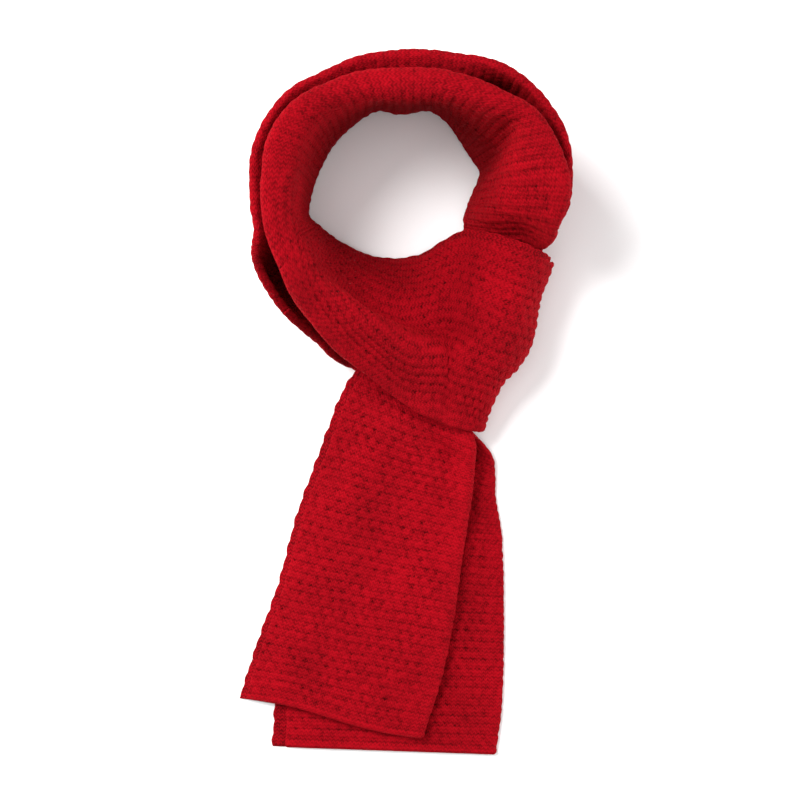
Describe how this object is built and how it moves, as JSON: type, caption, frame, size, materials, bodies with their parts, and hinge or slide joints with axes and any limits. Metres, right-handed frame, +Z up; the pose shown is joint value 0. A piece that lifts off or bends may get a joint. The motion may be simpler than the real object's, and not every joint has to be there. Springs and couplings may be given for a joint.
{
  "type": "knit scarf",
  "caption": "Soft knit scarf folded in half lengthwise and laid in a pull-through loop: a round neck hollow, a flat crossing band and both tails laid side by side.",
  "frame": {"origin": "middle of the laid scarf's box in plan, on the surface that it lies on", "axes": "+Z up out of the surface, +Y from the tails' hems towards the neck loop, +X to the right as seen from above"},
  "size_m": [0.2312, 0.4851, 0.1396],
  "materials": {
    "wool_knit": "brushed wool knit, matt with a soft nap"
  },
  "bodies": {
    "root": {"tail_back": "wool_knit", "collar_outer": "wool_knit", "knot_back": "wool_knit", "knot_turn": "wool_knit", "knot_front": "wool_knit", "collar_inner": "wool_knit", "tail_front": "wool_knit"}
  },
  "joints": []
}
